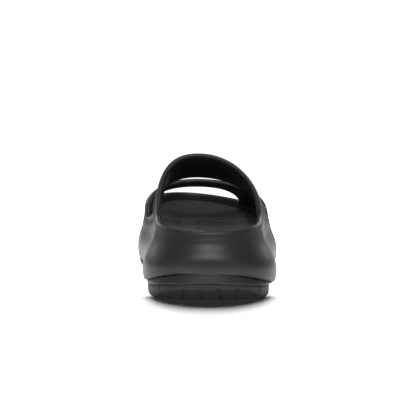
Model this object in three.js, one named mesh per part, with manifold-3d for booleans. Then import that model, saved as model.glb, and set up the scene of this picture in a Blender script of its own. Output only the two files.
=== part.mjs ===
// Sport slide sandal for a right foot, seen with +Y towards the toes, +X towards the outer side and +Z up.
// It is a foam shell (two instep bands joined to a heel collar, side walls and toe rim), a footbed that
// lies in the shell's well, a midsole that closes the shell from below, and a grooved outsole.
// Every surface hangs on one closed line, the inside wall of the well, and on named heights above the floor.
import * as THREE from "three";
import { mergeVertices } from "three/addons/utils/BufferGeometryUtils.js";
import Module from "manifold-3d";

const wasm = await Module();
wasm.setup();

// Driving sizes, in millimetres
const FOOT_LENGTH = 270; // inside length of the well, heel to toe
const BALL_WIDTH = 94; // inside width of the well across the ball
const WALL = 5; // thickness of the rim and the side walls
const CROWN_WALL = 5; // thickness of the bands over the instep
const FLARE = 14; // most that the foam swells out past the wall
const NECK = 1.2; // how much thicker the wall is at the crease than at the rim
const RIM_HEIGHT = 54; // top of the heel rim above the floor
const CREASE_HEIGHT = 46; // where the swell meets the wall, at the heel
const INSTEP_HEIGHT = 99; // outside of the rear band at its rear edge
const TOE_ARCH_HEIGHT = 66; // outside of the front band at its front edge
const HEM_HEIGHT = 21.5; // lower edge of the shell above the sole's underside, at the heel
const TREAD_HEIGHT = 12.5; // height of the outsole's side wall at the heel
const TOE_SPRING = 12; // lift of the underside below the tip of the well
const BEVEL_HEIGHT = 9.5; // of the bevel under the back of the heel
const BEVEL_LENGTH = 8.5; // how far forward it reaches from that edge
const BEVEL_FOOT = 5.7; // its foot, behind the well's heel end
const BEVEL_BOW = 9; // how far its foot curves forward at the sides
const BEVEL_WIDTH = 86; // the width at which it does
const BEVEL_CURVE = 1.2; // how it leaves the flat underside: 1 is a plane, more is rounder
const WAIST_LIFT = 2; // lift of the underside under the arch
const STACK_HEEL = 39; // footbed above the underside, at the heel
const STACK_BALL = 28.5; // the same at the ball
const STACK_TOE = 27; // the same at the toes
const CUP_DEPTH = 8; // rise of the footbed towards the wall, at the heel
const CUP_REACH = 26; // width of that rise
const FOOTBED_THICKNESS = 5;
const FOOTBED_EDGE = 1.4; // rounding of the footbed's upper edge
const CLEARANCE = 0.3; // between pieces that lie against each other
const GROOVE_WIDTH = 2.4;
const GROOVE_DEPTH = 2.2; // of the tread's cross grooves
const NOTCH_DEPTH = 2; // of the notches in the heel's bevel
const NOTCH_WIDTH = 2;
const NOTCH_REACH = 10; // of those notches, forward from the bevel
const GROOVE_BELOW = 6; // how far a cut starts below the underside
const CHEVRON_RISE = 7;
const HEM_STEP = 1.2; // how far the midsole stands back from the shell's hem
const LEDGE = 0.8; // how far the outsole stands out under the midsole
const TREAD_INSET = 0.7; // how far the outsole's lower edge is drawn in
const TREAD_ROUND = 0.9; // height of that lower edge's rounding
const TREAD_THIN = 0.39; // the outsole's height before the heel, as a share of TREAD_HEIGHT
// One cross groove, from the outer to the inner side, in shares of BALL_WIDTH and CHEVRON_RISE
const CHEVRON = [
  { across: 0.8, rise: -1 },
  { across: 0.2, rise: 0.5 },
  { across: 0, rise: 1 },
  { across: -0.2, rise: 0.5 },
  { across: -0.8, rise: -1 },
];
const CHEVRONS = [0.09, 0.15, 0.21, 0.56, 0.62, 0.68, 0.74, 0.8, 0.86]; // shares of FOOT_LENGTH
// The notches in the heel's bevel. across: share of BALL_WIDTH, at the bevel's foot. lean: how far each goes
// to the inner side for every millimetre back.
const REAR_NOTCHES = [
  { across: -0.232, lean: 0.07 },
  { across: -0.078, lean: 0.19 },
  { across: 0.076, lean: 0.19 },
  { across: 0.206, lean: -0.13 },
];

// The well's inside wall, as a closed line from the heel round the outer side, the toes and the inner side.
// Places are named from the heel, with out for the outer side and in for the inner.
// along: share of FOOT_LENGTH from the heel. across: share of BALL_WIDTH, positive on the outer side.
// cup: how far the footbed rises towards the wall there, a share of CUP_DEPTH.
const OUTLINE = [
  { at: "heel back", along: 0.0, across: -0.015, cup: 1.0 },
  { at: "heel turn, out", along: 0.026, across: 0.225, cup: 1.0 },
  { at: "heel, out", along: 0.111, across: 0.357, cup: 1.0 },
  { at: "heel fore, out", along: 0.233, across: 0.385, cup: 0.97 },
  { at: "waist, out", along: 0.374, across: 0.413, cup: 0.88 },
  { at: "ball back, out", along: 0.515, across: 0.448, cup: 0.72 },
  { at: "ball, out", along: 0.648, across: 0.468, cup: 0.8 },
  { at: "little toe", along: 0.783, across: 0.43, cup: 1.0 },
  { at: "toes, out", along: 0.898, across: 0.3, cup: 0.6 },
  { at: "toe tip, out", along: 0.975, across: 0.06, cup: 0.45 },
  { at: "toe tip", along: 1.0, across: -0.22, cup: 0.45 },
  { at: "toe tip, in", along: 0.944, across: -0.448, cup: 0.85 },
  { at: "big toe", along: 0.815, across: -0.543, cup: 1.0 },
  { at: "ball, in", along: 0.667, across: -0.552, cup: 0.8 },
  { at: "ball back, in", along: 0.52, across: -0.49, cup: 0.72 },
  { at: "waist, in", along: 0.378, across: -0.443, cup: 0.85 },
  { at: "heel fore, in", along: 0.233, across: -0.427, cup: 0.97 },
  { at: "heel, in", along: 0.111, across: -0.399, cup: 1.0 },
  { at: "heel turn, in", along: 0.026, across: -0.262, cup: 1.0 },
];
// The side wall at each of those places. rim and crease: shares of RIM_HEIGHT and CREASE_HEIGHT. flare: share
// of FLARE. hem and tread: shares of HEM_HEIGHT and TREAD_HEIGHT above the underside. step: share of HEM_STEP
// and of the undercut above it. sole: how far the outsole reaches, as a share of flare.
const SIDES = [
  { at: "heel back", rim: 0.97, crease: 1.0, flare: 0.66, hem: 1.0, step: 0.0, tread: 1.0, sole: 0.95 },
  { at: "heel turn, out", rim: 0.985, crease: 1.0, flare: 0.84, hem: 0.78, step: 0.8, tread: 0.87, sole: 1.22 },
  { at: "heel, out", rim: 1.0, crease: 0.98, flare: 0.86, hem: 0.36, step: 1.0, tread: 0.46, sole: 0.53 },
  { at: "heel fore, out", rim: 1.01, crease: 0.92, flare: 0.78, hem: 0.26, step: 1.0, tread: 0.35, sole: 0.42 },
  { at: "waist, out", rim: 0.98, crease: 0.87, flare: 0.6, hem: 0.27, step: 1.0, tread: 0.3, sole: 0.42 },
  { at: "ball back, out", rim: 0.9, crease: 0.83, flare: 0.55, hem: 0.28, step: 0.9, tread: 0.29, sole: 0.55 },
  { at: "ball, out", rim: 0.84, crease: 0.78, flare: 0.52, hem: 0.28, step: 0.8, tread: 0.29, sole: 0.6 },
  { at: "little toe", rim: 0.82, crease: 0.75, flare: 0.5, hem: 0.32, step: 0.8, tread: 0.31, sole: 0.6 },
  { at: "toes, out", rim: 0.825, crease: 0.77, flare: 0.5, hem: 0.38, step: 0.6, tread: 0.35, sole: 0.6 },
  { at: "toe tip, out", rim: 0.865, crease: 0.8, flare: 0.5, hem: 0.42, step: 0.5, tread: 0.39, sole: 0.55 },
  { at: "toe tip", rim: 0.905, crease: 0.82, flare: 0.5, hem: 0.42, step: 0.5, tread: 0.39, sole: 0.55 },
  { at: "toe tip, in", rim: 0.92, crease: 0.81, flare: 0.45, hem: 0.4, step: 0.6, tread: 0.37, sole: 0.58 },
  { at: "big toe", rim: 0.875, crease: 0.77, flare: 0.42, hem: 0.34, step: 0.8, tread: 0.32, sole: 0.6 },
  { at: "ball, in", rim: 0.84, crease: 0.76, flare: 0.42, hem: 0.28, step: 0.8, tread: 0.29, sole: 0.62 },
  { at: "ball back, in", rim: 0.9, crease: 0.81, flare: 0.45, hem: 0.28, step: 0.9, tread: 0.29, sole: 0.5 },
  { at: "waist, in", rim: 0.98, crease: 0.87, flare: 0.55, hem: 0.28, step: 1.0, tread: 0.3, sole: 0.35 },
  { at: "heel fore, in", rim: 1.01, crease: 0.92, flare: 0.66, hem: 0.3, step: 1.0, tread: 0.36, sole: 0.46 },
  { at: "heel, in", rim: 1.0, crease: 0.98, flare: 0.76, hem: 0.45, step: 1.0, tread: 0.5, sole: 0.64 },
  { at: "heel turn, in", rim: 0.985, crease: 1.0, flare: 0.82, hem: 0.86, step: 0.8, tread: 0.89, sole: 1.14 },
];
const TIP = 10; // the toe tip's row

// The swell of the side wall from the crease down to the hem. rise: share of the height between them.
// swell: share of the station's flare. flush: the same where the hem has no step.
const SWELL = [
  { rise: 0.91, swell: 0.07, flush: 0.07 },
  { rise: 0.8, swell: 0.22, flush: 0.22 },
  { rise: 0.67, swell: 0.47, flush: 0.47 },
  { rise: 0.54, swell: 0.73, flush: 0.73 },
  { rise: 0.41, swell: 0.92, flush: 0.92 },
  { rise: 0.27, swell: 1.0, flush: 1.0 },
  { rise: 0.12, swell: 0.96, flush: 1.0 },
  { rise: 0.03, swell: 0.87, flush: 0.98 },
  { rise: 0.0, swell: 0.76, flush: 0.96 },
];

// The bands over the instep. share: from the rear edge to the front edge. apex: the crown's place across, a
// share of BALL_WIDTH. inner and outer: roundness of each flank, 2 for an ellipse and more for a squarer one.
const BANDS = [
  { share: 0, apex: -0.096, inner: 2.7, outer: 1.95 },
  { share: 0.55, apex: -0.11, inner: 2.6, outer: 1.9 },
  { share: 1, apex: -0.135, inner: 2.3, outer: 2.2 },
];
const TUCK_INNER = 4; // how far the rear band's inner flank stands back from the wall at the slot
const TUCK_OUTER = 2; // the same on the outer side
const SLOT_EASE = 0.5; // share of that left in the middle of the slot
const CROWN_SAG = 1.25; // how fast the crown falls behind the front band
const SLOT_END_REACH = 0.35; // how round the slot's ends are, as a share of one cell
// The strap's feet and crown, as shares of FOOT_LENGTH from the heel
const STRAP = {
  inner: { rear: 0.285, front: 0.815 },
  crown: { rear: 0.489, front: 0.778 },
  outer: { rear: 0.285, front: 0.915 },
};
const REAR_SWEEP = 12; // how far the collar's edge bows forward of a straight line
const FRONT_SWEEP = -6; // the same at the strap's front edge, towards the heel
// The slot between the bands, as shares of the strap's length, and the rows where it ends
const SLOT = {
  inner: { rear: 0.54, front: 0.66 },
  crown: { rear: 0.557, front: 0.8 },
  outer: { rear: 0.44, front: 0.55 },
};

// How finely the surfaces are divided
const HEEL_STEPS = 14;
const REAR_BAND_STEPS = 10;
const SLOT_STEPS = 2;
const FRONT_BAND_STEPS = 4;
const TOE_STEPS = 12;
const RIM_ROWS = 2; // rows of wall between the crease and the rim
const CROWN_ROWS = 12; // rows from the crease to the crown
const SLOT_ROWS = { inner: 1, outer: 3 }; // rows of wall below each end of the slot
const ROUNDING_STEPS = 4; // facets round a free edge
const BED_ROWS = 4; // rows of facets from the footbed's edge to its middle
const SOLE_ROWS = 3; // the same between the midsole and outsole
const BEVEL_STEPS = 6; // facets along the heel's bevel
const BEVEL_COLUMNS = 14; // and across it
const SPINE_ENDS = { heel: 6, toe: 31 }; // sections where the slabs' rows run together
const SPLINE_PASSES = 60;

const STRAP_START = HEEL_STEPS;
const SLOT_START = STRAP_START + REAR_BAND_STEPS;
const SLOT_END = SLOT_START + SLOT_STEPS;
const STRAP_END = SLOT_END + FRONT_BAND_STEPS;
const LAST_SECTION = STRAP_END + TOE_STEPS;
const LAST_ROW = 2 * CROWN_ROWS;

const { lerp, clamp } = THREE.MathUtils;

// A smooth closed curve through one column of a table: a periodic cubic spline with even knots.
function closedSpline(values) {
  const n = values.length;
  const bend = new Array(n).fill(0);
  for (let pass = 0; pass < SPLINE_PASSES; pass++) {
    for (let i = 0; i < n; i++) {
      const before = (i + n - 1) % n;
      const after = (i + 1) % n;
      const kink = values[after] - 2 * values[i] + values[before];
      bend[i] = (6 * kink - bend[before] - bend[after]) / 4;
    }
  }
  return (u) => {
    const at = ((u % n) + n) % n;
    const i = Math.floor(at) % n;
    const j = (i + 1) % n;
    const t = at - Math.floor(at);
    const s = 1 - t;
    return s * values[i] + t * values[j] + ((s ** 3 - s) * bend[i] + (t ** 3 - t) * bend[j]) / 6;
  };
}

const column = (table, name) => closedSpline(table.map((row) => row[name]));
const along = column(OUTLINE, "along");
const across = column(OUTLINE, "across");
const rimShare = column(SIDES, "rim");
const creaseShare = column(SIDES, "crease");
const cupShare = column(OUTLINE, "cup");
const flareShare = column(SIDES, "flare");
const hemShare = column(SIDES, "hem");
const stepShare = column(SIDES, "step");
const treadShare = column(SIDES, "tread");
const soleShare = column(SIDES, "sole");

// Places along the foot are counted from the middle of the well.
const wellY = (share) => (share - 0.5) * FOOT_LENGTH;
const wellX = (u) => across(u) * BALL_WIDTH;
const HEEL_Y = wellY(0);
const TIP_Y = wellY(1);

// A point at distance out from the well's inside wall, at height z.
function beside(u, out, z) {
  const step = 0.01;
  const tangentX = wellX(u + step) - wellX(u - step);
  const tangentY = wellY(along(u + step)) - wellY(along(u - step));
  const length = Math.hypot(tangentX, tangentY);
  const x = wellX(u) + (tangentY / length) * out;
  const y = wellY(along(u)) - (tangentX / length) * out;
  return new THREE.Vector3(x, y, z);
}

// The place on the closed line, on one side of the foot, that lies a share of the length from the heel.
function stationAt(share, side) {
  let [low, high] = side === "outer" ? [0, TIP] : [OUTLINE.length, TIP];
  for (let i = 0; i < 40; i++) {
    const middle = (low + high) / 2;
    if (along(middle) < share) low = middle;
    else high = middle;
  }
  return (low + high) / 2;
}

// Height of the sole's underside above the floor: flat under the heel and ball, lifted at waist and toes. The
// heel's bevel is cut later.
function underside(y) {
  const toe = clamp((y - wellY(0.707)) / (TIP_Y - wellY(0.707)), 0, 2);
  const waist = clamp((y - wellY(0.26)) / (wellY(0.46) - wellY(0.26)), 0, 1);
  return TOE_SPRING * toe ** 1.7 + WAIST_LIFT * Math.sin(Math.PI * waist) ** 2;
}

// Height of the footbed's middle above the floor.
function footbedHeight(y) {
  const share = y / FOOT_LENGTH + 0.5;
  const toBall = THREE.MathUtils.smoothstep(share, 0.3, 0.66);
  const toToe = THREE.MathUtils.smoothstep(share, 0.66, 1);
  const toe = clamp((y - wellY(0.707)) / (TIP_Y - wellY(0.707)), 0, 2);
  const stack = STACK_HEEL + (STACK_BALL - STACK_HEEL) * toBall + (STACK_TOE - STACK_BALL) * toToe;
  return stack + TOE_SPRING * toe ** 1.7;
}

const stationY = (u) => wellY(along(u));
const rimHeight = (u) => RIM_HEIGHT * rimShare(u) - WALL / 2; // foot of the rim's rounding
const creaseHeight = (u) => CREASE_HEIGHT * creaseShare(u);
const hemHeight = (u) => underside(stationY(u)) + HEM_HEIGHT * hemShare(u);
const treadHeight = (u) => underside(stationY(u)) + TREAD_HEIGHT * treadShare(u);
const swellOut = (u, share) => WALL + lerp(NECK, FLARE * flareShare(u), share);
const skirtOut = (u, row) => swellOut(u, lerp(row.flush, row.swell, stepShare(u)));
const hemOut = (u) => skirtOut(u, SWELL[SWELL.length - 1]);

// A value between a table's crown entry and its inner (side -1) or outer (side 1) entry.
function towards(table, key, side) {
  const end = side < 0 ? table.inner : table.outer;
  return lerp(table.crown[key], end[key], side * side);
}

// Where a section lies along the strap, as a share of its length. side runs from -1 to 1 across the crown.
function strapShare(section, side) {
  const rear = towards(SLOT, "rear", side);
  const front = towards(SLOT, "front", side);
  if (section <= SLOT_START) return (rear * (section - STRAP_START)) / REAR_BAND_STEPS;
  if (section <= SLOT_END) return lerp(rear, front, (section - SLOT_START) / SLOT_STEPS);
  return lerp(front, 1, (section - SLOT_END) / FRONT_BAND_STEPS);
}

// The closed line's place for each section, on each side. Sections run from the heel back to the toe tip.
function sectionStations(side) {
  const end = side === "outer" ? 0 : OUTLINE.length;
  const sign = side === "outer" ? 1 : -1;
  const feet = STRAP[side];
  const rearFoot = stationAt(feet.rear, side);
  const frontFoot = stationAt(feet.front, side);
  const places = [];
  for (let k = 0; k <= LAST_SECTION; k++) {
    if (k < STRAP_START) places.push(lerp(end, rearFoot, k / HEEL_STEPS));
    else if (k > STRAP_END) places.push(lerp(frontFoot, TIP, (k - STRAP_END) / TOE_STEPS));
    else places.push(stationAt(lerp(feet.rear, feet.front, strapShare(k, sign)), side));
  }
  return places;
}
const STATION = { outer: sectionStations("outer"), inner: sectionStations("inner") };

// A column of the band table at a share of the strap's length, eased between its rows.
function bandValue(name, share) {
  const next = BANDS.findIndex((row) => row.share >= share && row.share > 0);
  const [from, to] = [BANDS[next - 1], BANDS[next]];
  return lerp(from[name], to[name], THREE.MathUtils.smoothstep(share, from.share, to.share));
}

// A point of the straight wall, on row 0 to RIM_ROWS above the crease. face is "outside" or "inside".
function wallPoint(section, row, face) {
  const side = row <= CROWN_ROWS ? "inner" : "outer";
  const step = side === "inner" ? row : LAST_ROW - row;
  const u = STATION[side][section];
  const thickness = WALL + NECK * (1 - step / RIM_ROWS) ** 2;
  const out = (face === "outside" ? thickness : 0) - tuck(section, side) * (step / RIM_ROWS) ** 4;
  return beside(u, out, lerp(creaseHeight(u), rimHeight(u), step / RIM_ROWS));
}

// How far the rear band's flank stands back from the wall, growing towards the slot.
function tuck(section, side) {
  if (section < STRAP_START || section >= SLOT_END) return 0;
  const share = THREE.MathUtils.smoothstep(section, STRAP_START, SLOT_START);
  const depth = side === "inner" ? TUCK_INNER : TUCK_OUTER;
  return depth * share * (section > SLOT_START ? SLOT_EASE : 1);
}

// A point of the strap: row 0 is the inner crease, CROWN_ROWS the crown and LAST_ROW the outer crease.
function strapPoint(section, row, face) {
  const side = row <= CROWN_ROWS ? "inner" : "outer";
  const step = side === "inner" ? row : LAST_ROW - row;
  if (step <= RIM_ROWS) return wallPoint(section, row, face);
  const base = wallPoint(section, side === "inner" ? RIM_ROWS : LAST_ROW - RIM_ROWS, face);
  const share = strapShare(section, 0);
  const crownOutside = lerp(TOE_ARCH_HEIGHT, INSTEP_HEIGHT, (1 - share) ** CROWN_SAG);
  const crown = face === "outside" ? crownOutside : crownOutside - CROWN_WALL;
  const apex = bandValue("apex", share) * BALL_WIDTH;
  const n = bandValue(side, share);
  const angle = ((Math.PI / 2) * (step - RIM_ROWS)) / (CROWN_ROWS - RIM_ROWS);
  const [c, s] = [Math.max(Math.cos(angle), 0), Math.sin(angle)];
  const radius = (c ** n + s ** n) ** (-1 / n);
  const reach = radius * c; // share of the way from the crown out to the wall
  const climb = radius * s; // share of the way from the rim up to the crown
  const crownY = wellY(lerp(STRAP.crown.rear, STRAP.crown.front, share));
  const sweep = lerp(REAR_SWEEP, FRONT_SWEEP, share) * 4 * (Math.sqrt(climb) - climb);
  const y = lerp(base.y, crownY, climb) + sweep;
  return new THREE.Vector3(lerp(apex, base.x, reach), y, lerp(base.z, crown, climb));
}

const onStrap = (section) => section >= STRAP_START && section <= STRAP_END;
const onSlot = (section, row) =>
  section >= SLOT_START && section < SLOT_END && row >= SLOT_ROWS.inner && row < LAST_ROW - SLOT_ROWS.outer;
const onWall = (section, row) => {
  const lowCell = row < RIM_ROWS || row >= LAST_ROW - RIM_ROWS;
  return lowCell || (section >= STRAP_START && section < STRAP_END);
};

// A list of points and faces that becomes one closed mesh.
class Surface {
  constructor() {
    this.points = [];
    this.faces = [];
  }
  add(point) {
    return this.points.push(point) - 1;
  }
  face(...corners) {
    const distinct = corners.filter((c, i) => c !== corners[(i + 1) % corners.length]);
    for (let i = 2; i < distinct.length; i++) this.faces.push([distinct[0], distinct[i - 1], distinct[i]]);
  }
  geometry() {
    const made = new THREE.BufferGeometry();
    const numbers = this.points.flatMap((p) => [p.x, p.y, p.z]);
    made.setAttribute("position", new THREE.Float32BufferAttribute(numbers, 3));
    made.setIndex(this.faces.flat());
    made.computeVertexNormals();
    return made;
  }
}

// Draws a corner at the end of the slot in, so that the slot's ends are round.
function roundSlotEnd(section, row, point, face) {
  const middle = SLOT_START + SLOT_STEPS / 2;
  const beyond = { [SLOT_ROWS.inner]: row - 1, [LAST_ROW - SLOT_ROWS.outer]: row + 1 }[row];
  if (beyond === undefined || Math.abs(section - middle) > SLOT_STEPS / 2) return point;
  if (section === middle) return point.lerp(strapPoint(section, beyond, face), SLOT_END_REACH);
  return point.lerp(strapPoint(middle, row, face), SLOT_END_REACH);
}

// The upper: one shell. Its wall and bands are a grid of cells with an outside and an inside face, closed by
// round free edges at the collar, toes and slot, and by the swelling skirt below the crease.
function makeUpper() {
  const surface = new Surface();
  const made = { outside: new Map(), inside: new Map() };
  const vertex = (section, row, face) => {
    const onPole = section === 0 || section === LAST_SECTION;
    const key = section * (LAST_ROW + 1) + (onPole && row > CROWN_ROWS ? LAST_ROW - row : row);
    if (!made[face].has(key)) {
      const point = (onStrap(section) ? strapPoint : wallPoint)(section, row, face);
      made[face].set(key, surface.add(onStrap(section) ? roundSlotEnd(section, row, point, face) : point));
    }
    return made[face].get(key);
  };
  const links = []; // each outside edge as [from, to, inside of from, inside of to]
  for (let k = 0; k < LAST_SECTION; k++) {
    for (let row = 0; row < LAST_ROW; row++) {
      if (!onWall(k, row) || onSlot(k, row)) continue;
      const corners = [[k, row], [k, row + 1], [k + 1, row + 1], [k + 1, row]];
      const outside = corners.map(([s, r]) => vertex(s, r, "outside"));
      const inside = corners.map(([s, r]) => vertex(s, r, "inside"));
      surface.face(...outside);
      surface.face(...[...inside].reverse());
      for (let i = 0; i < 4; i++) {
        const j = (i + 1) % 4;
        const onCrease = corners[i][1] === corners[j][1] && corners[i][1] % LAST_ROW === 0;
        if (!onCrease) links.push([outside[i], outside[j], inside[i], inside[j]]);
      }
    }
  }
  roundFreeEdges(surface, links);
  addSkirt(surface, vertex);
  return surface.geometry();
}

// Closes every edge that only one cell uses with a half-round strip from the outside to the inside face.
function roundFreeEdges(surface, links) {
  const used = new Set(links.map(([from, to]) => `${from} ${to}`));
  const free = links.filter(([from, to]) => !used.has(`${to} ${from}`));
  const heading = new Map();
  for (const [from, to] of free) {
    const run = surface.points[to].clone().sub(surface.points[from]).normalize();
    for (const end of [from, to]) heading.set(end, (heading.get(end) ?? new THREE.Vector3()).add(run));
  }
  const arcs = new Map();
  const arc = (outer, inner) => {
    if (arcs.has(outer)) return arcs.get(outer);
    const [p, q] = [surface.points[outer], surface.points[inner]];
    const radius = p.clone().sub(q).multiplyScalar(0.5);
    const bulge = heading.get(outer).clone().cross(radius).setLength(radius.length());
    const middle = p.clone().add(q).multiplyScalar(0.5);
    const chain = [outer];
    for (let i = 1; i < ROUNDING_STEPS; i++) {
      const angle = (Math.PI * i) / ROUNDING_STEPS;
      const point = middle.clone().addScaledVector(radius, Math.cos(angle));
      chain.push(surface.add(point.addScaledVector(bulge, Math.sin(angle))));
    }
    chain.push(inner);
    arcs.set(outer, chain);
    return chain;
  };
  for (const [from, to, fromInside, toInside] of free) {
    const [a, b] = [arc(from, fromInside), arc(to, toInside)];
    for (let i = 0; i < ROUNDING_STEPS; i++) surface.face(b[i], a[i], a[i + 1], b[i + 1]);
  }
}

// The swelling side wall below the crease, its hem, and the inside wall of the well.
function addSkirt(surface, vertex) {
  const columns = ringOrder().map(({ section, side, u }) => {
    const row = side === "inner" ? 0 : LAST_ROW;
    const low = hemHeight(u);
    const chain = [vertex(section, row, "outside")];
    for (const row of SWELL) {
      const z = lerp(low, creaseHeight(u), row.rise);
      chain.push(surface.add(beside(u, skirtOut(u, row), z)));
    }
    chain.push(surface.add(beside(u, 0, low)), vertex(section, row, "inside"));
    return chain;
  });
  columns.forEach((here, i) => {
    const next = columns[(i + 1) % columns.length];
    for (let j = 0; j + 1 < here.length; j++) surface.face(here[j], here[j + 1], next[j + 1], next[j]);
  });
}

// The sections once round the foot, from the heel up the outer side and back down the inner side.
function ringOrder() {
  const order = [];
  for (let k = 0; k <= LAST_SECTION; k++) order.push({ section: k, side: "outer", u: STATION.outer[k] });
  for (let k = LAST_SECTION - 1; k > 0; k--) order.push({ section: k, side: "inner", u: STATION.inner[k] });
  return order;
}

// The middle of the sole at a section. Past both ends it stays at one point, where the rows run together.
function spine(section) {
  const k = clamp(section, SPINE_ENDS.heel, SPINE_ENDS.toe);
  return beside(STATION.outer[k], 0, 0).add(beside(STATION.inner[k], 0, 0)).multiplyScalar(0.5);
}

// A slab that fills the ring. rim: its edge from top to bottom, each row giving [out, height] at a station.
// top and bottom: heights at a point, from the distance to the wall and the nearest station. topRows and
// bottomRows: rows of facets from the edge to the middle.
function makeSlab(rim, top, topRows, bottom, bottomRows) {
  const surface = new Surface();
  const order = ringOrder();
  const edge = rim.map((profile) => order.map(({ u }) => surface.add(beside(u, ...profile(u)))));
  const rings = [...edge];
  const floor = (ring, height, rows) => {
    const shared = new Map();
    const grid = [ring];
    for (let j = 1; j <= rows; j++) {
      grid.push(order.map(({ section, u }, i) => {
        const out = surface.points[ring[i]];
        const middle = spine(section);
        const point = out.clone().lerp(middle, j / rows);
        point.z = height(point.y, Math.hypot(point.x - out.x, point.y - out.y), u);
        if (j < rows) return surface.add(point);
        const key = clamp(section, SPINE_ENDS.heel, SPINE_ENDS.toe);
        if (!shared.has(key)) shared.set(key, surface.add(point));
        return shared.get(key);
      }));
    }
    return grid;
  };
  rings.unshift(...floor(edge[0], top, topRows).slice(1).reverse());
  rings.push(...floor(edge[edge.length - 1], bottom, bottomRows).slice(1));
  for (let j = 0; j + 1 < rings.length; j++) {
    rings[j].forEach((_, i) => {
      const n = (i + 1) % order.length;
      const [a, b, c, d] = [rings[j][i], rings[j + 1][i], rings[j + 1][n], rings[j][n]];
      // Slabs that lie on each other split their facets along the same diagonal.
      if (j < topRows) surface.face(a, b, c, d);
      else surface.face(b, c, d, a);
    });
  }
  return surface.geometry();
}

// Height of the footbed's upper side, rising from its dish towards the wall.
function bedTop(y, inward, u) {
  return footbedHeight(y) + CUP_DEPTH * cupShare(u) * (1 - THREE.MathUtils.smoothstep(inward, 0, CUP_REACH));
}
const bedEdge = (u) => bedTop(stationY(u), 0, u);

function makeFootbed() {
  const out = -CLEARANCE;
  const rim = [
    (u) => [out - FOOTBED_EDGE, bedEdge(u)],
    (u) => [out - FOOTBED_EDGE * 0.3, bedEdge(u) - FOOTBED_EDGE * 0.3],
    (u) => [out, bedEdge(u) - FOOTBED_EDGE],
    (u) => [out, bedEdge(u) - FOOTBED_THICKNESS],
  ];
  const top = (y, inward, u) => bedTop(y, inward + FOOTBED_EDGE, u);
  const bottom = (y, inward, u) => bedTop(y, inward, u) - FOOTBED_THICKNESS;
  return makeSlab(rim, top, BED_ROWS, bottom, BED_ROWS);
}

function makeMidsole() {
  const drop = FOOTBED_THICKNESS + CLEARANCE;
  const rim = [
    (u) => [-CLEARANCE, bedEdge(u) - drop],
    (u) => [-CLEARANCE, hemHeight(u) - CLEARANCE],
    (u) => [hemOut(u) - HEM_STEP * stepShare(u), hemHeight(u) - CLEARANCE],
    (u) => [swellOut(u, soleShare(u)) - LEDGE, treadHeight(u) + CLEARANCE],
  ];
  const top = (y, inward, u) => bedTop(y, inward, u) - drop;
  const bottom = (y, inward, u) => treadTop(y, inward + LEDGE, u) + CLEARANCE;
  return makeSlab(rim, top, BED_ROWS, bottom, SOLE_ROWS);
}

// Height of the outsole's upper side: level with its wall near the edge, then easing to the middle's height.
function treadTop(y, inward, u) {
  const share = clamp(y / FOOT_LENGTH + 0.5, 0, 1);
  const middle = underside(y) + TREAD_HEIGHT * lerp(1, TREAD_THIN, THREE.MathUtils.smoothstep(share, 0, 0.22));
  return lerp(treadHeight(u), middle, THREE.MathUtils.smoothstep(inward, WALL + FLARE, 40));
}

function makeOutsole() {
  const rim = [
    (u) => [swellOut(u, soleShare(u)), treadHeight(u)],
    (u) => [swellOut(u, soleShare(u)) - TREAD_INSET * 0.4, underside(stationY(u)) + TREAD_ROUND],
    (u) => [swellOut(u, soleShare(u)) - TREAD_INSET, underside(stationY(u))],
  ];
  let body = solid(makeSlab(rim, treadTop, SOLE_ROWS, underside, SOLE_ROWS));
  for (const cut of [makeBevel(), ...makeGrooves()]) body = body.subtract(solid(cut));
  return geometry(body);
}

// What is cut away under the back of the heel: a bevel across the whole width, or with raise a notch that runs
// along it at x, leaning to the inner side as it goes back.
function makeBevel(x = 0, width = 1.3 * BEVEL_WIDTH, raise = 0, lean = 0) {
  const surface = new Surface();
  const front = raise ? -NOTCH_REACH : -1;
  const profile = [[front, -GROOVE_BELOW], [front, raise || -0.4]];
  for (let i = raise ? 0 : 1; i <= BEVEL_STEPS; i++) {
    const back = (2.4 * BEVEL_LENGTH * i) / BEVEL_STEPS;
    profile.push([back, raise + BEVEL_HEIGHT * (back / BEVEL_LENGTH) ** BEVEL_CURVE]);
  }
  profile.push([2.4 * BEVEL_LENGTH, -GROOVE_BELOW]);
  const columns = raise ? 1 : BEVEL_COLUMNS;
  const rings = [];
  for (let k = 0; k <= columns; k++) {
    const at = x + width * (k / columns - 0.5);
    const foot = HEEL_Y - BEVEL_FOOT + BEVEL_BOW * Math.abs((2 * at) / BEVEL_WIDTH) ** 3;
    rings.push(profile.map(([back, z]) => surface.add(new THREE.Vector3(at - lean * back, foot - back, z))));
  }
  rings.slice(1).forEach((ring, k) => {
    ring.forEach((_, i) => {
      const n = (i + 1) % ring.length;
      surface.face(rings[k][n], ring[n], ring[i], rings[k][i]);
    });
  });
  surface.face(...[...rings[0]].reverse());
  surface.face(...rings[columns]);
  return surface.geometry();
}

// A groove along a line of plan points, cut depth deep into the underside.
function makeGroove(line, width, depth) {
  const surface = new Surface();
  const rings = line.map(([x, y], i) => {
    const before = line[Math.max(i - 1, 0)];
    const after = line[Math.min(i + 1, line.length - 1)];
    const run = new THREE.Vector2(after[0] - before[0], after[1] - before[1]).normalize();
    const corner = (side, height, spread) => {
      const out = (side * width * spread) / 2;
      const lift = underside(y) + height;
      return surface.add(new THREE.Vector3(x - run.y * out, y + run.x * out, lift));
    };
    const wide = [corner(-1, -GROOVE_BELOW, 1.2), corner(1, -GROOVE_BELOW, 1.2)];
    return [...wide, corner(1, depth, 0.8), corner(-1, depth, 0.8)];
  });
  rings.slice(1).forEach((ring, i) => {
    for (let c = 0; c < 4; c++) {
      const d = (c + 1) % 4;
      surface.face(rings[i][c], rings[i][d], ring[d], ring[c]);
    }
  });
  surface.face(...[...rings[0]].reverse());
  surface.face(...rings[rings.length - 1]);
  return surface.geometry();
}

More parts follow.
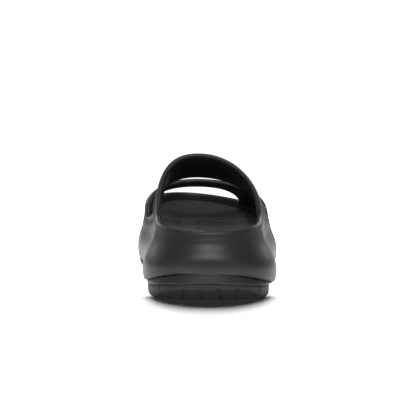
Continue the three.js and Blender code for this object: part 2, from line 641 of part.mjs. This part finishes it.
// The tread: chevrons across the heel and ball, and short notches that open at the heel's rear edge.
function makeGrooves() {
  const cuts = [];
  for (const place of CHEVRONS) {
    const y = wellY(place);
    const line = CHEVRON.map(({ across, rise }) => [across * BALL_WIDTH, y + rise * CHEVRON_RISE]);
    cuts.push(makeGroove(line, GROOVE_WIDTH, GROOVE_DEPTH));
  }
  for (const { across: place, lean } of REAR_NOTCHES) {
    cuts.push(makeBevel(place * BALL_WIDTH, NOTCH_WIDTH, NOTCH_DEPTH, lean));
  }
  return cuts;
}

function solid(source) {
  const mesh = new wasm.Mesh({
    numProp: 3,
    vertProperties: source.getAttribute("position").array,
    triVerts: new Uint32Array(source.index.array),
  });
  return new wasm.Manifold(mesh);
}

function geometry(body) {
  const mesh = body.getMesh();
  const made = new THREE.BufferGeometry();
  made.setAttribute("position", new THREE.Float32BufferAttribute(mesh.vertProperties, 3));
  made.setIndex([...mesh.triVerts]);
  const merged = mergeVertices(made, 1e-3);
  merged.computeVertexNormals();
  return merged;
}

const NODES = [
  { name: "upper", make: makeUpper, color: 0x35353a, roughness: 0.6 },
  { name: "footbed", make: makeFootbed, color: 0x2c2c30, roughness: 0.75 },
  { name: "midsole", make: makeMidsole, color: 0x323236, roughness: 0.6 },
  { name: "outsole", make: makeOutsole, color: 0x29292c, roughness: 0.8 },
];

const group = new THREE.Group();
group.name = "sport_slide_sandal";
for (const { name, make, color, roughness } of NODES) {
  const mesh = new THREE.Mesh(make(), new THREE.MeshStandardMaterial({ color, roughness }));
  mesh.name = name;
  group.add(mesh);
}
// The origin lies on the floor under the middle of the whole part.
const box = new THREE.Box3().setFromObject(group);
const centre = box.getCenter(new THREE.Vector3());
for (const mesh of group.children) mesh.geometry.translate(-centre.x, -centre.y, -box.min.z);

export default group;
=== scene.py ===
import math

import bpy
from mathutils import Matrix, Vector


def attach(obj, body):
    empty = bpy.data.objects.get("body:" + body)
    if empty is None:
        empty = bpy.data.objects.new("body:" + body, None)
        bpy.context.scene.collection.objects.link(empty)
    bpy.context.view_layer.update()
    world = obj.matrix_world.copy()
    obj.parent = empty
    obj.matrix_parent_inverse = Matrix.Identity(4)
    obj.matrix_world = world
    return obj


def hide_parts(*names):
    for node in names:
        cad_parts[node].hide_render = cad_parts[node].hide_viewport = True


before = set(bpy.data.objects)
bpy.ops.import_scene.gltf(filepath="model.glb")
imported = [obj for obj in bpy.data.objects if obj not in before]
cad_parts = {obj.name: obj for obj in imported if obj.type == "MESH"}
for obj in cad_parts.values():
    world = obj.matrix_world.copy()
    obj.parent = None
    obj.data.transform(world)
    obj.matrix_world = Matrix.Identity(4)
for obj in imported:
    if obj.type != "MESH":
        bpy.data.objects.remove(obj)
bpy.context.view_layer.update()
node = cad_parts

# The camera stands behind the heel and a little above it, far off with a long lens, as the photograph was
# taken.
CAMERA_DISTANCE = 1.650
CAMERA_RISE = math.radians(7.5)
aim = Vector((0.0010, 0.0011, 0.0524))
back = Vector((0.0, -math.cos(CAMERA_RISE), math.sin(CAMERA_RISE)))
bpy.ops.object.camera_add(location=aim + back * CAMERA_DISTANCE)
camera = bpy.context.object
camera.rotation_mode = "QUATERNION"
camera.rotation_quaternion = (-back).to_track_quat("-Z", "Y")
camera.data.lens = 171.35
camera.data.sensor_width = 36.0
camera.data.clip_end = 60.0
bpy.context.scene.camera = camera


# The studio: pale paper lit by a soft box beyond the toes, which throws the shadow back under the heel. The
# shoe has lamps of its own: a key high behind the camera, soft boxes overhead, a low panel beyond the toes and
# one on each side. Light linking keeps the paper's lamp and the shoe's lamps apart.
PAPER_SIZE = 8.0
PAPER_WHITE = 0.92
PAPER_GLOW = 1.02
GLOW_STARTS = 0.26  # distance from the middle of the shoe at which the paper begins to glow
GLOW_FULL = 0.5
SHADOW_KEPT = -0.132  # the paper behind this line takes the heel's shadow
SHADOW_GONE = -0.114  # and before this one it glows, so it stays white beside the shoe


class Socket:
    """A socket of a material's node tree, on which sums are written as they are said."""

    def __init__(self, tree, link):
        self.tree = tree
        self.link = link

    def maths(self, operation, *others):
        return add_node(self.tree, "ShaderNodeMath", {"operation": operation}, self, *others)

    def __add__(self, other):
        return self.maths("ADD", other)

    def __sub__(self, other):
        return self.maths("SUBTRACT", other)

    def __mul__(self, other):
        return self.maths("MULTIPLY", other)

    def __rsub__(self, other):
        return add_node(self.tree, "ShaderNodeMath", {"operation": "SUBTRACT"}, other, self)

    __radd__ = __add__
    __rmul__ = __mul__


def add_node(tree, kind, settings, *values, output=0, **named):
    """Adds one node, makes its settings, then fills its sockets with links or plain values."""
    made = tree.nodes.new(kind)
    for name, value in settings.items():
        setattr(made, name, value)
    wanted = list(enumerate(values))
    wanted += [(name.replace("_", " "), value) for name, value in named.items()]
    for name, value in wanted:
        if isinstance(value, Socket):
            tree.links.new(value.link, made.inputs[name])
        elif value is not None:
            made.inputs[name].default_value = value
    return Socket(tree, made.outputs[output])


def eased(tree, value, low, high):
    """0 where the value is below low, 1 above high and eased between."""
    settings = {"interpolation_type": "SMOOTHSTEP"}
    return add_node(tree, "ShaderNodeMapRange", settings, value, low, high, 0.0, 1.0)


def new_material(name):
    """An empty material with its Principled shader. Returns the material, its tree and the shader."""
    material = bpy.data.materials.new(name)
    material.use_nodes = True
    tree = material.node_tree
    shader = next(n for n in tree.nodes if n.type == "BSDF_PRINCIPLED")
    return material, tree, shader


def dress(piece, material):
    """Gives a piece one material and no other."""
    piece.data.materials.clear()
    piece.data.materials.append(material)


def soft_box(name, place, towards, width, height, power, lit):
    """An area lamp that lights only what the collection lit takes in."""
    direction = Vector(towards) - Vector(place)
    turn = direction.to_track_quat("-Z", "Y").to_euler()
    bpy.ops.object.light_add(type="AREA", location=place, rotation=turn)
    lamp = bpy.context.object
    lamp.name = name
    lamp.data.shape = "RECTANGLE"
    lamp.data.size = width
    lamp.data.size_y = height
    lamp.data.energy = power
    lamp.light_linking.receiver_collection = lit
    return lamp


bpy.ops.mesh.primitive_plane_add(size=PAPER_SIZE, location=(0.0, 1.0, 0.0))
bpy.ops.object.transform_apply(location=True, rotation=True, scale=True)
floor = bpy.context.object
floor.name = "studio_floor"
paper, tree, shader = new_material("floor_paper")
place = add_node(tree, "ShaderNodeTexCoord", {}, output="Object")
from_shoe = add_node(tree, "ShaderNodeVectorMath", {"operation": "LENGTH"}, place, output="Value")
far = eased(tree, from_shoe, GLOW_STARTS, GLOW_FULL)
along = add_node(tree, "ShaderNodeSeparateXYZ", {}, place, output="Y")
beside = eased(tree, along, SHADOW_KEPT, SHADOW_GONE)
glow = 1 - (1 - far) * (1 - beside)
tree.links.new((glow * PAPER_GLOW).link, shader.inputs["Emission Color"])
tree.links.new((PAPER_WHITE * (1 - far)).link, shader.inputs["Base Color"])
shader.inputs["Emission Strength"].default_value = 1.0
shader.inputs["Roughness"].default_value = 0.9
shader.inputs["Specular IOR Level"].default_value = 0.1
dress(floor, paper)

floor_alone = bpy.data.collections.new("floor_alone")
floor_alone.objects.link(floor)
shoe_alone = bpy.data.collections.new("shoe_alone")
shoe_alone.objects.link(floor)
shoe_alone.collection_objects[0].light_linking.link_state = "EXCLUDE"
floor.light_linking.receiver_collection = floor_alone
middle = (0.0, 0.0, 0.05)
heel = (0.0, -0.14, 0.04)
soft_box("floor_box", (0.0, 1.8, 1.62), (0.0, 0.0, 0.0), 1.2, 1.6, 176.0, floor_alone)
soft_box("key_box", (0.02, -1.52, 1.68), heel, 0.7, 0.3, 20.0, shoe_alone)
soft_box("top_box", (0.0, 0.5, 2.0), (0.0, 0.0, 0.0), 2.0, 1.4, 8.5, shoe_alone)
soft_box("rim_box", (0.0, -0.35, 2.1), (0.0, -0.1, 0.0), 1.2, 0.4, 5.5, shoe_alone)
soft_box("horizon_box", (0.0, 2.1, 0.55), middle, 3.4, 0.7, 14.0, shoe_alone)
soft_box("left_box", (-1.5, 0.9, 0.55), middle, 0.9, 1.1, 2.2, shoe_alone)
soft_box("right_box", (1.5, 0.9, 0.55), middle, 0.9, 1.1, 1.4, shoe_alone)

# Pale paper throws light up under the heel. A lamp below it, which the paper doesn't block, stands for that.
bounce_box = soft_box("bounce_box", (0.0, -0.6, -0.35), (0.0, -0.14, 0.01), 0.8, 0.4, 2.4, shoe_alone)
bounce_box.light_linking.blocker_collection = shoe_alone

# The camera sees white beyond the paper, and everything else gets only a little light from the room.
ROOM_SEEN = 1.05
ROOM_LIGHT = 0.02
world = bpy.data.worlds.new("studio_air")
bpy.context.scene.world = world
world.use_nodes = True
tree = world.node_tree
air = tree.nodes["Background"]
seen = add_node(tree, "ShaderNodeLightPath", {}, output="Is Camera Ray")
strength = ROOM_LIGHT * (1 - seen) + seen * ROOM_SEEN
tree.links.new(strength.link, air.inputs["Strength"])
air.inputs["Color"].default_value = (1.0, 1.0, 1.0, 1.0)
bpy.context.scene.view_settings.view_transform = "Standard"


# The upper is one foam moulding: two instep bands that run into the side walls, the heel collar and the toe
# rim. It comes out of its mould with a satin skin, a very fine grain and mostly soft edges. The corner of its
# hem, which is bonded to the midsole, is crisp.
CHARCOAL = (0.027, 0.027, 0.028)
HEM_CORNER = math.radians(50.0)  # edges that turn more sharply stay crisp: the hem's, and a few higher up
HEM_CREASE = 0.9


def mesh_of(part, name):
    """A copy of a CAD part's mesh under a new name, its corners joined and its triangles paired into quads."""
    bpy.ops.object.select_all(action="DESELECT")
    piece = part.copy()
    piece.data = part.data.copy()
    piece.name = piece.data.name = name
    piece.modifiers.clear()
    bpy.context.collection.objects.link(piece)
    bpy.context.view_layer.objects.active = piece
    piece.select_set(True)
    bpy.ops.object.mode_set(mode="EDIT")
    bpy.ops.mesh.select_all(action="SELECT")
    bpy.ops.mesh.remove_doubles(threshold=2e-5)
    bpy.ops.mesh.tris_convert_to_quads(face_threshold=3.1, shape_threshold=3.1, topology_influence=1.0)
    bpy.ops.object.mode_set(mode="OBJECT")
    return piece


def keep_corners(angle, crease):
    """Creases the edges of the active piece that turn more sharply than the angle, so that they stay crisp."""
    bpy.ops.object.mode_set(mode="EDIT")
    bpy.ops.mesh.select_all(action="DESELECT")
    bpy.ops.mesh.edges_select_sharp(sharpness=angle)
    bpy.ops.transform.edge_crease(value=crease)
    bpy.ops.object.mode_set(mode="OBJECT")


def smooth(piece, levels):
    """Rounds a piece with a subdivision surface, and applies it."""
    rounding = piece.modifiers.new("rounding", "SUBSURF")
    rounding.levels = rounding.render_levels = levels
    bpy.context.view_layer.objects.active = piece
    bpy.ops.object.modifier_apply(modifier=rounding.name)
    bpy.ops.object.shade_smooth()


def shade_of(colour, share):
    """The colour made lighter or darker by a share, with its alpha."""
    return tuple(c * share for c in colour) + (1.0,)


def blend(tree, share, first, second):
    """The first colour where the share is 0 and the second where it is 1."""
    unused = [None] * 5  # the Mix node's sockets for numbers and vectors come before those for colours
    return add_node(tree, "ShaderNodeMix", {"data_type": "RGBA"}, share, *unused, first, second, output=2)


def foam(name, colour, roughness, grain, ribbed=False):
    """Moulded foam: a satin skin with a fine grain and faint cloudy patches. On the ribbed bed its colour also
    carries painted shade between the ribs and a painted highlight on their crests.
    """
    material, tree, shader = new_material(name)
    place = add_node(tree, "ShaderNodeTexCoord", {}, output="Object")
    patch = add_node(tree, "ShaderNodeTexNoise", {}, Vector=place, Scale=35.0, Detail=4.0, Roughness=0.6)
    pores = add_node(tree, "ShaderNodeTexNoise", {}, Vector=place, Scale=1400.0, Detail=3.0, Roughness=0.6)
    tone = blend(tree, patch * 0.6 + pores * 0.4, shade_of(colour, 0.8), shade_of(colour, 1.25))
    if ribbed:
        crest = add_node(tree, "ShaderNodeAttribute", {"attribute_name": "crest"}, output="Fac")
        # Painted shade and highlight: the colour is darkened between the ribs and lightened on their crests.
        painted_rib_shading = blend(tree, crest, shade_of(colour, 0.35), shade_of(colour, 1.25))
        ribs = add_node(tree, "ShaderNodeAttribute", {"attribute_name": "ribbed"}, output="Fac")
        tone = blend(tree, ribs, tone, painted_rib_shading)
    tree.links.new(tone.link, shader.inputs["Base Color"])
    gloss = patch * 0.16 + pores * 0.08 + (roughness - 0.12)
    tree.links.new(gloss.link, shader.inputs["Roughness"])
    shader.inputs["Specular IOR Level"].default_value = 0.3
    bump = add_node(tree, "ShaderNodeBump", {}, Strength=grain, Distance=0.0002, Height=pores)
    tree.links.new(bump.link, shader.inputs["Normal"])
    return material


shell = mesh_of(node["upper"], "moulded_shell")
keep_corners(HEM_CORNER, HEM_CREASE)
smooth(shell, 2)
dress(shell, foam("shell_foam", CHARCOAL, 0.40, 0.25))
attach(shell, "root")
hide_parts("upper")

# The footbed is a separate foam bed pressed into the shell's well. Its ribs run across the foot in two fields,
# with a smooth path between them that flares towards the heel, and they follow the wall round the outer side.
BED_CHARCOAL = (0.031, 0.031, 0.032)
RIB_PITCH = 0.0092
RIB_HEIGHT = 0.0008
RIB_SINK = 0.4  # share of a rib's height by which the bed between the ribs lies lower
PATH_X = -0.0158
PATH_HALF_WIDTH = 0.0042
PATH_FLARE = 0.009  # how much wider each side of the path is at the heel
BOW_X = 0.014  # the ribs bend towards the heel beyond this place
BOW = 6.6
bed = mesh_of(node["footbed"], "ribbed_footbed")
smooth(bed, 3)


def ramp(value, low, high):
    """0 below low, 1 above high and eased between."""
    share = min(max((value - low) / (high - low), 0.0), 1.0)
    return share * share * (3.0 - 2.0 * share)


def rib_at(x, y):
    """How far a place on the bed belongs to the ribs, and how near it lies to a rib's crest, from 0 to 1."""
    half_path = PATH_HALF_WIDTH + PATH_FLARE * ramp(-y, -0.035, 0.02)
    off_path = ramp(abs(x - PATH_X) - half_path, 0.0, 0.0025)
    across = ramp(x, -0.043, -0.038) * ramp(-x, -0.04, -0.034)
    along = ramp(y, -0.122, -0.112) * ramp(-y, -0.104, -0.092)
    bow = BOW * max(x - BOW_X, 0.0) ** 1.5
    crest = 0.5 + 0.5 * math.cos(2.0 * math.pi * (y + bow) / RIB_PITCH)
    return off_path * across * along, crest


# These shares also steer the bed's material, which paints shade between the ribs and a highlight on their
# crests.
ribbed_share = bed.data.attributes.new("ribbed", "FLOAT", "POINT")
crest_share = bed.data.attributes.new("crest", "FLOAT", "POINT")
facing_up = [corner for corner in bed.data.vertices if corner.normal.z > 0.5]
for corner in facing_up:
    ribbed, crest = rib_at(corner.co.x, corner.co.y)
    corner.co.z += RIB_HEIGHT * (ribbed * crest - RIB_SINK)
    ribbed_share.data[corner.index].value = ribbed
    crest_share.data[corner.index].value = crest
dress(bed, foam("bed_foam", BED_CHARCOAL, 0.60, 0.35, ribbed=True))
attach(bed, "root")
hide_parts("footbed")

# The midsole is the foam wedge that closes the shell from below, and it shows as a smooth band between hem and
# tread. It is bonded under the hem, so its edge there is raised until no gap shows.
MIDSOLE_CORNER = math.radians(35.0)
HEM_SEAM = 0.0007
BELOW_HEM = 0.0235  # corners that face up and lie lower than this are raised
core = mesh_of(node["midsole"], "midsole_foam")
keep_corners(MIDSOLE_CORNER, 1.0)
smooth(core, 2)
under_hem = [corner for corner in core.data.vertices if corner.normal.z > 0.3 and corner.co.z < BELOW_HEM]
for corner in under_hem:
    corner.co.z += HEM_SEAM
dress(core, foam("core_foam", CHARCOAL, 0.46, 0.3))
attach(core, "root")
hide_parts("midsole")

# The outsole is a firmer foam tread, moulded in one with its grooves and notches, and every edge of it is soft.
# It is bonded under the midsole, so its upper face is raised until no gap shows.
TREAD_CELL = 0.0008
TREAD_SEAM = 0.00035
tread = mesh_of(node["outsole"], "grooved_outsole")
cells = tread.modifiers.new("cells", "REMESH")
cells.mode = "VOXEL"
cells.voxel_size = TREAD_CELL
bpy.ops.object.modifier_apply(modifier=cells.name)
soften = tread.modifiers.new("soften", "SMOOTH")
soften.factor = 0.5
soften.iterations = 2
bpy.ops.object.modifier_apply(modifier=soften.name)
upper_face = [corner for corner in tread.data.vertices if corner.normal.z > 0.3]
for corner in upper_face:
    corner.co.z += TREAD_SEAM
bpy.ops.object.shade_smooth()
dress(tread, foam("tread_foam", CHARCOAL, 0.52, 0.4))
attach(tread, "root")
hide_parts("outsole")
